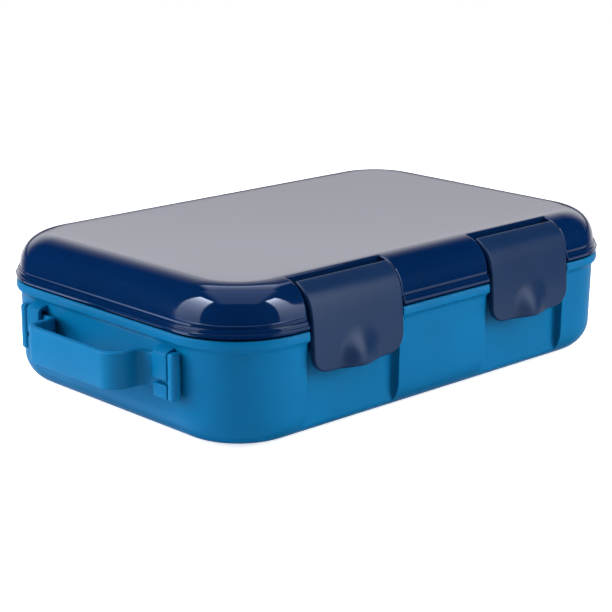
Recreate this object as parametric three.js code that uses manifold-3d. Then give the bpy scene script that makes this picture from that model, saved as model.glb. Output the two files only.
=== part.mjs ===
// Bento lunch box: tub, hinged lid with two front latches, end handle, lift-out tray.
// Millimetres, +Z up, front (latches) towards -Y, handle on the -X end.
// Origin: centre of the underside of the tub.
import * as THREE from 'three';
import { mergeVertices } from 'three/addons/utils/BufferGeometryUtils.js';
import Module from 'manifold-3d';

const wasm = await Module();
wasm.setup();

// ---------- driving dimensions ----------
const HALF_LENGTH = 120;
const HALF_WIDTH = 81.25;
const RIM_CORNER = 33.8;
const GAP = 0.3;

const TUB_TOP = 45.3;
const TUB_WALL = 2.2;
const TUB_FLOOR = 2.5;
const WALL_INSET = 1.8;
const WALL_DRAFT = 1.0;
const BOTTOM_RADIUS = 12.4;
const RIM_BAND_BOTTOM = 42.4;
const RIM_FILLET = 2;
const LEDGE_Z = 43;
const LEDGE_INSET = 2.4;

const LID_BOTTOM = TUB_TOP + GAP;
const LID_TOP = 64.6;
const LID_WALL = 2;
const LID_END_WALL = 3.5;
const BEAD_TOP = 48.5;
const SHOULDER_FOOT = 1.6;
const SHOULDER_RUN = 16.6;
const SHOULDER_POWER = 2 / 2.38;

const LATCH_X = 52.25;
const LATCH_WIDTH = 51;
const LATCH_THICKNESS = 2.4;
const LATCH_BOTTOM = 27.6;
const LATCH_CORNER = 7.5;
const LATCH_BOW = 0.8;
const LIP_WIDTH = 26;
const LIP_HEIGHT = 17.5;
const LIP_REACH = 4;
const LATCH_PIVOT = { y: -71.6, z: 59.3 };
const LATCH_PIN_RADIUS = 1;
const LATCH_BARREL_RADIUS = 2.4;

const RECESS_WIDTH = 54.6;
const RECESS_FLOOR = -75.5;
const SLOT_REAR = -67.3;
const CATCH = { halfWidth: 19, tip: -77.6, bottom: 37.5, top: 40 };
const HOOK = { halfWidth: 17, tip: -77.95, bottom: 33.4, top: 36.9 };

const HINGE_X = 52.25;
const HINGE_AXIS = { y: 85.3, z: 46 };
const KNUCKLE_RADIUS = 3.4;
const HINGE_PIN_RADIUS = 1.25;
const HINGE_LENGTH = 32;
const LID_KNUCKLE_LENGTH = 14;

const STRAP = { bottom: 21, top: 36.5, outer: -136.8, thickness: 3, halfWidth: 30.2, corner: 8, valley: 5 };
const TAB = { bottom: 21.5, top: 35.4, outer: -120.8, inner: -118.5 };
const T_BAR = { from: 47.2, x: -121, halfX: 2.4, halfY: 1.9, corner: 1.2, bottom: 19.2, top: 38.3 };
const LOOP = { from: 38, to: 46.7, outer: -123, plate: 1.9, bottom: 19.1, top: 38.3, sill: 1.3 };
const LOOP_SPLIT = { bottom: 24.8, top: 26.7 };

const TRAY_FLANGE = { bottom: LEDGE_Z + GAP, top: 45 };
const TRAY_WALL = 1.5;
const CUP_FLOOR = 7;
const CUP_CORNER = 15;
const CUP_DRAFT = 1;
const CUP_FOOT_RADIUS = 8;
const FRONT_ROW = { y: -33, halfY: 34 };
const REAR_ROW = { y: 38.75, halfY: 29.25 };
const CUPS = [
  { x: -46.5, halfX: 60, ...FRONT_ROW },
  { x: 64.5, halfX: 42.5, ...FRONT_ROW },
  { x: -65, halfX: 41.5, ...REAR_ROW },
  { x: 14, halfX: 29, ...REAR_ROW },
  { x: 79.25, halfX: 27.75, ...REAR_ROW },
];

const LINER = { bottom: 46.9, top: 48.7, inset: 4.1 };
const SEAL = { bottom: 45.3, top: 46.6, inset: 9.2 };

const CORNER_STEPS = 8;
const X_AXIS = new THREE.Vector3(1, 0, 0);
const Y_AXIS = new THREE.Vector3(0, 1, 0);
const Z_AXIS = new THREE.Vector3(0, 0, 1);

// ---------- solids ----------
function solid(geometry) {
  const bare = new THREE.BufferGeometry();
  bare.setAttribute('position', geometry.getAttribute('position'));
  if (geometry.index) bare.setIndex(geometry.index);
  const welded = mergeVertices(bare, 1e-4);
  return new wasm.Manifold(new wasm.Mesh({
    numProp: 3,
    vertProperties: new Float32Array(welded.getAttribute('position').array),
    triVerts: new Uint32Array(welded.index.array),
  }));
}

function join(...bodies) {
  return bodies.reduce((total, body) => total.add(body));
}

function cut(body, ...tools) {
  return tools.reduce((rest, tool) => rest.subtract(tool), body);
}

function toGeometry(body) {
  const mesh = body.getMesh();
  const geometry = new THREE.BufferGeometry();
  geometry.setAttribute('position', new THREE.BufferAttribute(mesh.vertProperties, 3));
  geometry.setIndex(new THREE.BufferAttribute(mesh.triVerts, 1));
  geometry.computeVertexNormals();
  return geometry;
}

function box([x0, x1], [y0, y1], [z0, z1]) {
  const geometry = new THREE.BoxGeometry(x1 - x0, y1 - y0, z1 - z0);
  geometry.translate((x0 + x1) / 2, (y0 + y1) / 2, (z0 + z1) / 2);
  return solid(geometry);
}

function rodAlongX(radius, length, axis, centreX = 0, sides = 24) {
  const geometry = new THREE.CylinderGeometry(radius, radius, length, sides);
  geometry.rotateZ(Math.PI / 2);
  geometry.translate(centreX, axis.y, axis.z);
  return solid(geometry);
}

function outline(points) {
  return new THREE.Shape(points.map(([u, v]) => new THREE.Vector2(u, v)));
}

function prismAlongX(profileYZ, width, centreX = 0) {
  const geometry = new THREE.ExtrudeGeometry(outline(profileYZ), { depth: width, bevelEnabled: false });
  geometry.translate(0, 0, -width / 2);
  geometry.applyMatrix4(new THREE.Matrix4().makeBasis(Y_AXIS, Z_AXIS, X_AXIS));
  geometry.translate(centreX, 0, 0);
  return solid(geometry);
}

function prismAlongY(profileZX, from, to) {
  const geometry = new THREE.ExtrudeGeometry(outline(profileZX), { depth: to - from, bevelEnabled: false });
  geometry.translate(0, 0, from);
  geometry.applyMatrix4(new THREE.Matrix4().makeBasis(Z_AXIS, X_AXIS, Y_AXIS));
  return solid(geometry);
}

function prismAlongZ(shapeXY, from, to) {
  const geometry = new THREE.ExtrudeGeometry(shapeXY, {
    depth: to - from,
    bevelEnabled: false,
    curveSegments: 6,
  });
  geometry.translate(0, 0, from);
  return solid(geometry);
}

// A rounded-rectangle ring at height z, counter-clockwise seen from above.
function ring(halfX, halfY, corner, z, x = 0, y = 0, steps = CORNER_STEPS) {
  const points = [];
  for (let quadrant = 0; quadrant < 4; quadrant++) {
    const sideX = quadrant === 0 || quadrant === 3 ? 1 : -1;
    const sideY = quadrant < 2 ? 1 : -1;
    for (let step = 0; step <= steps; step++) {
      const angle = (quadrant + step / steps) * Math.PI / 2;
      points.push([
        x + sideX * (halfX - corner) + corner * Math.cos(angle),
        y + sideY * (halfY - corner) + corner * Math.sin(angle),
        z,
      ]);
    }
  }
  return points;
}

// A ring that lies a given distance inside the outline of the rim.
function rimRing([inset, z]) {
  return ring(HALF_LENGTH - inset, HALF_WIDTH - inset, RIM_CORNER - inset, z);
}

// A closed solid through rings that have the same number of points.
function loft(rings) {
  const count = rings[0].length;
  const centre = (points) => {
    const sum = points.reduce(([x, y], p) => [x + p[0], y + p[1]], [0, 0]);
    return [sum[0] / count, sum[1] / count, points[0][2]];
  };
  const positions = [...rings.flat(), centre(rings[0]), centre(rings.at(-1))].flat();
  const bottomCentre = rings.length * count;
  const topRow = (rings.length - 1) * count;
  const index = [];
  for (let i = 0; i < count; i++) {
    const next = (i + 1) % count;
    index.push(bottomCentre, next, i);
    index.push(bottomCentre + 1, topRow + i, topRow + next);
    for (let row = 0; row < topRow; row += count) {
      index.push(row + i, row + next, row + count + next);
      index.push(row + i, row + count + next, row + count + i);
    }
  }
  const geometry = new THREE.BufferGeometry();
  geometry.setAttribute('position', new THREE.Float32BufferAttribute(positions, 3));
  geometry.setIndex(index);
  return solid(geometry);
}

// Points of a quarter circle: [across, up] from (radius, 0) to (0, radius).
function quarterRound(radius, steps) {
  return Array.from({ length: steps + 1 }, (_, i) => {
    const angle = i / steps * Math.PI / 2;
    return [radius * (1 - Math.sin(angle)), radius * (1 - Math.cos(angle))];
  });
}

function mirrorY(body) {
  return body.mirror([0, 1, 0]);
}

function onBothSides(make) {
  return join(make(-LATCH_X), make(LATCH_X));
}

// ---------- recesses for the latches ----------
// Plan outline of the tub recess; the grown version leaves the wall behind it.
function tubRecess(centreX, grow = 0) {
  const half = RECESS_WIDTH / 2 + grow;
  const floor = RECESS_FLOOR + grow;
  const shape = outline([
    [centreX - half, -95],
    [centreX + half, -95],
    [centreX + half, -79.4 + grow],
    [centreX + half - 1, floor - 1.2],
    [centreX + half - 2.4, floor],
    [centreX - half + 2.4, floor],
    [centreX - half + 1, floor - 1.2],
    [centreX - half, -79.4 + grow],
  ]);
  return prismAlongZ(shape, -5, TUB_TOP + 5);
}

function lidRecess(centreX, grow = 0, growEnds = 0) {
  const profile = [
    [-100, 80],
    [-100, 40],
    [RECESS_FLOOR + grow, 40],
    [RECESS_FLOOR + grow, 46],
    [-74.9 + grow, 52 - grow],
    [-70.2 + grow, 54.6 - grow],
    [-68.2 + grow, 55.6 - grow],
    [SLOT_REAR + grow, 57.4 - grow],
    [SLOT_REAR + grow, 80],
  ];
  return prismAlongX(profile, RECESS_WIDTH + 2 * growEnds, centreX);
}

// ---------- tub ----------
function tubWallInset(z) {
  return WALL_INSET + WALL_DRAFT * (1 - z / TUB_TOP);
}

function tubOuter() {
  const foot = quarterRound(BOTTOM_RADIUS, 6).map(([across, up]) => [tubWallInset(up) + across, up]);
  const fillet = [
    [WALL_INSET, RIM_BAND_BOTTOM - RIM_FILLET],
    [WALL_INSET * 0.6, RIM_BAND_BOTTOM - RIM_FILLET * 0.45],
    [WALL_INSET * 0.12, RIM_BAND_BOTTOM - RIM_FILLET * 0.1],
    [0, RIM_BAND_BOTTOM],
  ];
  return loft([...foot, ...fillet, [0, TUB_TOP]].map(rimRing));
}

function tubInner() {
  const radius = BOTTOM_RADIUS - TUB_WALL;
  const wall = (z) => tubWallInset(z) + TUB_WALL;
  const foot = quarterRound(radius, 5).map(([across, up]) => [wall(up) + across, TUB_FLOOR + up]);
  return loft([...foot, [wall(LEDGE_Z), LEDGE_Z]].map(rimRing).concat([
    rimRing([LEDGE_INSET, LEDGE_Z + 0.01]),
    rimRing([LEDGE_INSET, TUB_TOP + 1]),
  ]));
}

function stackingGroove() {
  const outer = loft([rimRing([22, -1]), rimRing([22, 0.8])]);
  const inner = loft([rimRing([25, -1]), rimRing([25, 0.8])]);
  return cut(outer, inner);
}

function catchRib(centreX) {
  const profile = [
    [RECESS_FLOOR + 1, CATCH.bottom],
    [RECESS_FLOOR + 1, CATCH.top + 1.6],
    [RECESS_FLOOR, CATCH.top + 1],
    [CATCH.tip, CATCH.top],
    [CATCH.tip, CATCH.bottom],
  ];
  return prismAlongX(profile, 2 * CATCH.halfWidth, centreX);
}

// One strap loop on the handle end: a split plate held off the wall by a roof and a sill.
function strapLoop() {
  const wallX = -HALF_LENGTH + WALL_INSET + TUB_WALL;
  const behindPlate = LOOP.outer + LOOP.plate;
  const upper = prismAlongY([
    [LOOP_SPLIT.top, behindPlate],
    [LOOP_SPLIT.top, LOOP.outer],
    [LOOP.top - 0.8, LOOP.outer],
    [LOOP.top + 1.2, wallX],
    [LOOP.top - LOOP.sill, wallX],
    [LOOP.top - LOOP.sill, behindPlate],
  ], LOOP.from, LOOP.to);
  const lower = prismAlongY([
    [LOOP.bottom, LOOP.outer],
    [LOOP_SPLIT.bottom, LOOP.outer],
    [LOOP_SPLIT.bottom, behindPlate],
    [LOOP.bottom + LOOP.sill, behindPlate],
    [LOOP.bottom + LOOP.sill, wallX],
    [LOOP.bottom, wallX],
  ], LOOP.from, LOOP.to);
  return join(upper, lower);
}

function hingeKnuckle(centreX, length, armBottom, armTop) {
  const barrel = rodAlongX(KNUCKLE_RADIUS, length, HINGE_AXIS, centreX);
  const arm = box(
    [centreX - length / 2, centreX + length / 2],
    [HALF_WIDTH - 1.5, HINGE_AXIS.y],
    [armBottom, armTop],
  );
  return join(barrel, arm);
}

function tubKnuckles(centreX) {
  const length = (HINGE_LENGTH - LID_KNUCKLE_LENGTH) / 2 - GAP;
  const offset = (LID_KNUCKLE_LENGTH + length) / 2 + GAP;
  const arm = [HINGE_AXIS.z - KNUCKLE_RADIUS, TUB_TOP - GAP];
  return join(
    hingeKnuckle(centreX - offset, length, ...arm),
    hingeKnuckle(centreX + offset, length, ...arm),
  );
}

function hingeBore(centreX) {
  return rodAlongX(HINGE_PIN_RADIUS + GAP, HINGE_LENGTH + 10, HINGE_AXIS, centreX);
}

function buildTub() {
  const cavity = cut(tubInner(), onBothSides((x) => tubRecess(x, TUB_WALL)));
  const shell = cut(tubOuter(), onBothSides((x) => tubRecess(x)), cavity, stackingGroove());
  const loop = strapLoop();
  const body = join(shell, onBothSides(catchRib), loop, mirrorY(loop), onBothSides(tubKnuckles));
  return cut(body, onBothSides(hingeBore));
}

// ---------- lid ----------
function shoulder(rise, extraInset, steps) {
  return Array.from({ length: steps + 1 }, (_, i) => {
    const angle = i / steps * Math.PI / 2;
    const inset = SHOULDER_FOOT + extraInset + SHOULDER_RUN * (1 - Math.cos(angle) ** SHOULDER_POWER);
    return [inset, BEAD_TOP + rise * Math.sin(angle) ** SHOULDER_POWER];
  });
}

function lidOuter() {
  const bead = [[0.3, LID_BOTTOM], [0, LID_BOTTOM + 0.4], [0, BEAD_TOP - 0.9], [0.6, BEAD_TOP - 0.2]];
  return loft([...bead, ...shoulder(LID_TOP - BEAD_TOP, 0, 9)].map(rimRing));
}

function lidInner() {
  const foot = SHOULDER_FOOT + LID_WALL;
  const rings = [[foot, LID_BOTTOM - 1], ...shoulder(LID_TOP - LID_WALL - BEAD_TOP, LID_WALL, 7)];
  return loft(rings.map(rimRing));
}

function lidKnuckle(centreX) {
  return hingeKnuckle(centreX, LID_KNUCKLE_LENGTH, LID_BOTTOM, HINGE_AXIS.z + 2.4);
}

function latchPinHole(centreX) {
  return rodAlongX(LATCH_PIN_RADIUS + GAP, RECESS_WIDTH + 4, LATCH_PIVOT, centreX, 16);
}

function buildLid() {
  const cavity = cut(lidInner(), onBothSides((x) => lidRecess(x, LID_WALL, LID_END_WALL)));
  const shell = cut(lidOuter(), onBothSides((x) => lidRecess(x)), cavity);
  const body = join(shell, onBothSides(lidKnuckle));
  return cut(body, onBothSides(latchPinHole), onBothSides(hingeBore));
}

function buildLiner() {
  const plate = loft([rimRing([LINER.inset, LINER.bottom]), rimRing([LINER.inset, LINER.top])]);
  return cut(plate, onBothSides((x) => lidRecess(x, LID_WALL + GAP, LID_END_WALL + GAP)));
}

function cupRing(cup, grow, z) {
  return ring(cup.halfX + grow, cup.halfY + grow, CUP_CORNER + grow, z, cup.x, cup.y, 5);
}

function buildSeal() {
  const plate = loft([rimRing([SEAL.inset, SEAL.bottom]), rimRing([SEAL.inset, SEAL.top])]);
  const windowRings = (cup) => [SEAL.bottom - 1, SEAL.top + 1].map((z) => cupRing(cup, TRAY_WALL, z));
  const windows = CUPS.map((cup) => loft(windowRings(cup)));
  return cut(plate, ...windows);
}

// ---------- latches ----------
// Outer face of the closed latch, top edge first: [y, z].
const LATCH_FACE = [
  [-70.6, 63], [-71.6, 62.45], [-74, 61], [-76.8, 58.4], [-79.1, 54.8],
  [-80.7, 51.2], [-81.6, 47.3], [-82.1, 41.8], [-82.4, 35.8], [-82.5, 20],
];

function latchFaceY(z) {
  const next = Math.max(1, LATCH_FACE.findIndex(([, height]) => height <= z + 1e-9));
  const [y0, z0] = LATCH_FACE[next - 1];
  const [y1, z1] = LATCH_FACE[next];
  return y0 + (y1 - y0) * (z0 - z) / (z0 - z1);
}

// Step from the outer face to the inner face, square to the face: [y, z].
function latchInward(z) {
  const slope = (latchFaceY(z + 0.3) - latchFaceY(z - 0.3)) / 0.6;
  const length = Math.hypot(1, slope);
  return [LATCH_THICKNESS / length, -LATCH_THICKNESS * slope / length];
}

function latchBottom(x) {
  const half = LATCH_WIDTH / 2;
  const intoCorner = Math.max(0, Math.abs(x) - (half - LATCH_CORNER));
  const corner = LATCH_CORNER - Math.sqrt(LATCH_CORNER ** 2 - intoCorner ** 2);
  const bow = LATCH_BOW * Math.max(0, 1 - (x / 18) ** 2);
  return LATCH_BOTTOM + corner - bow;
}

// How far the pull lip flares out of the face at (x, z).
function lipFlare(x, z) {
  const reach = Math.hypot(x / (LIP_WIDTH / 2), (z - LATCH_BOTTOM) / LIP_HEIGHT);
  const t = Math.min(1, Math.max(0, (1 - reach) / 0.75));
  return LIP_REACH * t * t * (3 - 2 * t);
}

const LATCH_COLUMNS = [-25.5, -25.1, -23.6, -21, -18, -13, -10.5, -8, -5.5, -2.8, 0];
const LATCH_LOWER_ROWS = 8;

// The curved plate of the latch as a closed grid: outer face, then inner face.
function latchPlate() {
  const columns = [...LATCH_COLUMNS, ...LATCH_COLUMNS.slice(0, -1).reverse().map((x) => -x)];
  const upper = LATCH_FACE.map(([, z]) => z).filter((z) => z > 46);
  const straightTop = upper.at(-1);
  const positions = [];
  for (const depth of [0, 1]) {
    for (const x of columns) {
      const drop = (latchBottom(x) - straightTop) / LATCH_LOWER_ROWS;
      const lower = Array.from({ length: LATCH_LOWER_ROWS }, (_, i) => straightTop + drop * (i + 1));
      for (const z of [...upper, ...lower]) {
        const [inY, inZ] = latchInward(z);
        positions.push(x, latchFaceY(z) - lipFlare(x, z) + depth * inY, z + depth * inZ);
      }
    }
  }
  return solid(closedGrid(positions, columns.length, upper.length + LATCH_LOWER_ROWS));
}

function closedGrid(positions, columns, rows) {
  const index = [];
  const at = (side, column, row) => (side * columns + column) * rows + row;
  const quad = (a, b, c, d) => index.push(a, b, c, a, c, d);
  for (let c = 0; c < columns - 1; c++) {
    for (let r = 0; r < rows - 1; r++) {
      quad(at(0, c, r), at(0, c, r + 1), at(0, c + 1, r + 1), at(0, c + 1, r));
      quad(at(1, c, r), at(1, c + 1, r), at(1, c + 1, r + 1), at(1, c, r + 1));
    }
    quad(at(0, c, 0), at(0, c + 1, 0), at(1, c + 1, 0), at(1, c, 0));
    quad(at(0, c, rows - 1), at(1, c, rows - 1), at(1, c + 1, rows - 1), at(0, c + 1, rows - 1));
  }
  for (let r = 0; r < rows - 1; r++) {
    quad(at(0, 0, r), at(1, 0, r), at(1, 0, r + 1), at(0, 0, r + 1));
    const last = columns - 1;
    quad(at(0, last, r), at(0, last, r + 1), at(1, last, r + 1), at(1, last, r));
  }
  const geometry = new THREE.BufferGeometry();
  geometry.setAttribute('position', new THREE.Float32BufferAttribute(positions, 3));
  geometry.setIndex(index);
  return geometry;
}

function latchSideRib(x) {
  const profile = [
    [-73.5, 58.5], [-77.5, 55.5], [-80, 49], [-81, 42], [-81.2, 36.5],
    [-79, 36.5], [-77, 40], [-76.6, 47], [-75, 55],
  ];
  return prismAlongX(profile, 1.8, x);
}

function latchHook() {
  const profile = [
    [-81, HOOK.bottom - 1.5],
    [-79.6, HOOK.bottom - 1.5],
    [HOOK.tip, HOOK.bottom],
    [HOOK.tip, HOOK.top],
    [-81, HOOK.top],
  ];
  return prismAlongX(profile, 2 * HOOK.halfWidth);
}

function buildLatch(centreX) {
  const ribX = LATCH_WIDTH / 2 - 1.2;
  const body = join(
    latchPlate(),
    rodAlongX(LATCH_BARREL_RADIUS, LATCH_WIDTH - 0.4, LATCH_PIVOT),
    latchHook(),
    latchSideRib(-ribX),
    latchSideRib(ribX),
  );
  const bore = rodAlongX(LATCH_PIN_RADIUS + GAP, LATCH_WIDTH + 10, LATCH_PIVOT, 0, 16);
  return cut(body, bore).translate([centreX, 0, 0]);
}

function buildLatchPin(centreX) {
  return rodAlongX(LATCH_PIN_RADIUS, RECESS_WIDTH + 3.2, LATCH_PIVOT, centreX, 16);
}

function buildHingePin(centreX) {
  return rodAlongX(HINGE_PIN_RADIUS, HINGE_LENGTH - 1, HINGE_AXIS, centreX);
}

// ---------- handle ----------
function arc(centreX, centreY, radiusX, radiusY, fromDegrees, toDegrees, steps = 5) {
  return Array.from({ length: steps + 1 }, (_, i) => {
    const angle = (fromDegrees + (toDegrees - fromDegrees) * i / steps) * Math.PI / 180;
    return [centreX + radiusX * Math.cos(angle), centreY + radiusY * Math.sin(angle)];
  });
}

// Half of the strap in plan, from the middle of the grip to the start of the tab.
function strapPlan() {
  const { outer, thickness, halfWidth, corner, valley } = STRAP;
  const cornerX = outer + corner;
  const cornerY = halfWidth - corner;
  const valleyX = TAB.outer - valley;
  const valleyY = halfWidth + valley;
  const tabThickness = TAB.inner - TAB.outer;
  return [
    [outer, -0.5],
    ...arc(cornerX, cornerY, corner, corner, 180, 90),
    ...arc(valleyX, valleyY, valley, valley, -90, 0),
    ...arc(valleyX, valleyY, valley + tabThickness, valley + thickness, 0, -90),
    ...arc(cornerX, cornerY, corner - thickness, corner - thickness, 90, 180),
    [outer + thickness, -0.5],
  ];
}

function buildHandle() {
  const tabPlan = [
    [TAB.inner, STRAP.halfWidth + STRAP.valley - 0.5],
    [TAB.inner, T_BAR.from + 1],
    [TAB.outer, T_BAR.from + 1],
    [TAB.outer, STRAP.halfWidth + STRAP.valley - 0.5],
  ];
  const barY = T_BAR.from + T_BAR.halfY;
  const barRing = (z) => ring(T_BAR.halfX, T_BAR.halfY, T_BAR.corner, z, T_BAR.x, barY, 3);
  const half = join(
    prismAlongZ(outline(strapPlan()), STRAP.bottom, STRAP.top),
    prismAlongZ(outline(tabPlan), TAB.bottom, TAB.top),
    loft([barRing(T_BAR.bottom), barRing(T_BAR.top)]),
  );
  return join(half, mirrorY(half));
}

// ---------- tray ----------
function buildTray() {
  const { bottom, top } = TRAY_FLANGE;
  const edge = LEDGE_INSET + GAP;
  const flange = loft([rimRing([edge, bottom]), rimRing([edge, top])]);
  const trimmed = cut(flange, onBothSides((x) => tubRecess(x, TUB_WALL + GAP)));
  const bodies = CUPS.map((cup) => loft(cupProfile(cup, TRAY_WALL, CUP_FLOOR - TRAY_WALL, bottom + 0.5)));
  const hollows = CUPS.map((cup) => loft(cupProfile(cup, 0, CUP_FLOOR, top + 1)));
  return cut(join(trimmed, ...bodies), ...hollows);
}

function cupProfile(cup, grow, floor, top) {
  const foot = quarterRound(CUP_FOOT_RADIUS + grow, 3);
  const rings = foot.map(([across, up]) => cupRing(cup, grow - across - CUP_DRAFT, floor + up));
  return [...rings, cupRing(cup, grow, top)];
}

// ---------- assembly ----------
function plastic(name, color, roughness) {
  return new THREE.MeshStandardMaterial({ name, color, roughness, metalness: 0 });
}

function steel(name) {
  return new THREE.MeshStandardMaterial({ name, color: 0xb8bcc0, roughness: 0.3, metalness: 1 });
}

function addPart(group, name, body, material) {
  const mesh = new THREE.Mesh(toGeometry(body), material);
  mesh.name = name;
  group.add(mesh);
}

const lunchBox = new THREE.Group();
lunchBox.name = 'bento_lunch_box';
addPart(lunchBox, 'base_tub', buildTub(), plastic('tub_blue', 0x1f72ab, 0.4));
addPart(lunchBox, 'carry_handle', buildHandle(), plastic('handle_blue', 0x2a86b8, 0.45));
addPart(lunchBox, 'food_tray', buildTray(), plastic('tray_pale', 0xdfe6ea, 0.35));
addPart(lunchBox, 'lid_shell', buildLid(), plastic('lid_navy', 0x04214b, 0.15));
addPart(lunchBox, 'lid_liner', buildLiner(), plastic('liner_pale', 0xe8edf0, 0.4));
addPart(lunchBox, 'lid_seal', buildSeal(), plastic('seal_silicone', 0xc9d4da, 0.6));
for (const [side, sign] of [['left', -1], ['right', 1]]) {
  const navy = plastic(`latch_navy_${side}`, 0x313e5e, 0.5);
  addPart(lunchBox, `latch_${side}`, buildLatch(sign * LATCH_X), navy);
  addPart(lunchBox, `latch_pin_${side}`, buildLatchPin(sign * LATCH_X), steel(`latch_pin_steel_${side}`));
  addPart(lunchBox, `hinge_pin_${side}`, buildHingePin(sign * HINGE_X), steel(`hinge_pin_steel_${side}`));
}

export default lunchBox;
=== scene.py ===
import math

import bmesh
import bpy
import numpy as np
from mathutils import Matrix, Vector
from mathutils.geometry import delaunay_2d_cdt


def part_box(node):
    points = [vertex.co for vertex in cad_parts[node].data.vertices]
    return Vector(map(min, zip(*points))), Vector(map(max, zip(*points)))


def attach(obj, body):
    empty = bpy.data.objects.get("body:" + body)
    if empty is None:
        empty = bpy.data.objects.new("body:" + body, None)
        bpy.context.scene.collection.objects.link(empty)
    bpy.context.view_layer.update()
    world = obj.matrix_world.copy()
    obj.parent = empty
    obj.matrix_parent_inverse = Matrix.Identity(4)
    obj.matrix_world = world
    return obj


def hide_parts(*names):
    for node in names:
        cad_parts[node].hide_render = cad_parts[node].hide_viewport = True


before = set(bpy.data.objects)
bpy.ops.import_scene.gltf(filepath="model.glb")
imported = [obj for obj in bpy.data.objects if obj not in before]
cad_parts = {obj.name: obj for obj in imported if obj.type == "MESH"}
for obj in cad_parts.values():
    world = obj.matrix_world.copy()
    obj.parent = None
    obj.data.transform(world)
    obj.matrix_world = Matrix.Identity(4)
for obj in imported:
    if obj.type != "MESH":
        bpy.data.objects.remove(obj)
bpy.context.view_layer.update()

MM = 0.001

# ---------------------------------------------------------------- driving sizes (millimetres)
# X runs away from the handle, the latches are on the -Y side and the hinges on the +Y side.
# A section is a list of (inset, z), inset being the distance inwards from the rim's outline.
LID_LOW, LID_HIGH = (np.array(corner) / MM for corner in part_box("lid_shell"))
HALF_LENGTH = -LID_LOW[0]
HALF_WIDTH = -LID_LOW[1]
LID_TOP = LID_HIGH[2]
LID_BOTTOM = LID_LOW[2]
LID_GAP = 0.3
TUB_TOP = LID_BOTTOM - LID_GAP
RIM_CORNER = 33.8
SECTION_END = 30  # where a section stops and one flat face closes the shell

WALL_INSET = 1.8
WALL_DRAFT = 1.0
TUB_WALL = 2.2
TUB_FLOOR = 2.5
BOTTOM_RADIUS = 12.4

LID_WALL = 2.0
SHOULDER_FOOT = 1.6
SHOULDER_RUN = 16.6
SHOULDER_Z = 48.5
SHOULDER_POWER = 2 / 2.38

LATCH_CENTRES = {"left": -53.3, "right": 51.2}
LATCH_HALF = 24.95
LATCH_PIVOT = (-71.6, 59.3)  # (y, z)
LATCH_PIN = (1.0, 54.8)  # radius, length
LATCH_BORE = 1.25
NOTCH_HALF = 25.9
NOTCH_FLOOR = HALF_WIDTH - 75.5  # inset of the floor of the notches for the latches
SLOT_REAR = HALF_WIDTH - 66.85  # inset of the rear of the slots for the latch barrels

HINGE_X = 52.25
HINGE_AXIS = (85.3, 46.0)  # (y, z)
HINGE_PIN = (1.25, 31.0)  # radius, length
HINGE_BORE = 1.5
KNUCKLE_RADIUS = 3.4

CUP_CORNER = 15.0
CUPS = [  # the tray's compartments: middle x, middle y, half length, half width
    (-46.5, -33.0, 60.0, 34.0),
    (64.5, -33.0, 42.5, 34.0),
    (-65.0, 38.75, 41.5, 29.25),
    (14.0, 38.75, 29.0, 29.25),
    (79.25, 38.75, 27.75, 29.25),
]


# ---------------------------------------------------------------- small geometry helpers
def arc(cx, cy, radius, start, end, steps):
    """Points of an arc in degrees, radius a number or (rx, ry)."""
    rx, ry = radius if isinstance(radius, tuple) else (radius, radius)
    angles = np.radians(np.linspace(start, end, steps + 1))
    return [(cx + rx * math.cos(a), cy + ry * math.sin(a)) for a in angles]


def densify(points, step):
    """The same path with extra points, so that no piece of it is longer than step."""
    out = [points[0]]
    for a, b in zip(points[:-1], points[1:]):
        count = max(1, math.ceil(math.dist(a, b) / step))
        whole = np.array(b) - np.array(a)
        out += [tuple(np.array(a) + whole * k / count) for k in range(1, count + 1)]
    return out


def chaikin(points, rounds=3):
    """A smooth path through a coarse one, its ends kept."""
    path = [np.array(p, float) for p in points]
    for _ in range(rounds):
        smooth = [path[0]]
        for a, b in zip(path[:-1], path[1:]):
            smooth += [0.75 * a + 0.25 * b, 0.25 * a + 0.75 * b]
        path = smooth + [path[-1]]
    return np.array(path)


def fractions(path):
    """How far along a path each of its points lies, from 0 to 1."""
    path = np.array(path, float)
    steps = np.linalg.norm(np.diff(path, axis=0), axis=1)
    return np.concatenate([[0], np.cumsum(steps)]) / steps.sum()


def along(path, where):
    """Points of a path at the given fractions of its length."""
    path, f = np.array(path, float), fractions(path)
    return np.stack([np.interp(where, f, path[:, k]) for k in range(path.shape[1])], axis=1)


def smoothstep(t):
    t = np.clip(t, 0, 1)
    return t * t * (3 - 2 * t)


def rounded_box(half_x, half_y, corner, steps, x=0.0, y=0.0):
    """A rounded rectangle as points, anticlockwise, with steps to each corner."""
    points = []
    for quadrant, (sx, sy) in enumerate([(1, 1), (-1, 1), (-1, -1), (1, -1)]):
        start = 90 * quadrant
        middle = (x + sx * (half_x - corner), y + sy * (half_y - corner))
        points += arc(*middle, corner, start, start + 90, steps)
    return points


EDGE_TURNS = np.radians([0, 22, 45, 68, 90])


def edge_steps(radius):
    """(inset, drop) of the points round a moulded edge, from its side to its face."""
    return [(radius * (1 - math.cos(a)), radius * (1 - math.sin(a))) for a in EDGE_TURNS]


def ring_faces(start, rings, size):
    """Quads between closed rings of vertices that follow one another from index start."""
    faces = []
    for a in range(start, start + (rings - 1) * size, size):
        b = a + size
        faces += [(a + i, a + (i + 1) % size, b + (i + 1) % size, b + i) for i in range(size)]
    return faces


def tube_faces(rings, size):
    """The faces of a tube of rings, closed at both ends."""
    last = (rings - 1) * size
    return ring_faces(0, rings, size) + [tuple(range(size)), tuple(range(last, last + size))]


def linked(name, data):
    """A new object in the scene."""
    made = bpy.data.objects.new(name, data)
    bpy.context.scene.collection.objects.link(made)
    return made


WELD_DISTANCE = 2e-7
SMALLEST_EDGE = 1e-8
SMOOTH_BELOW = math.radians(35)


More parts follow.
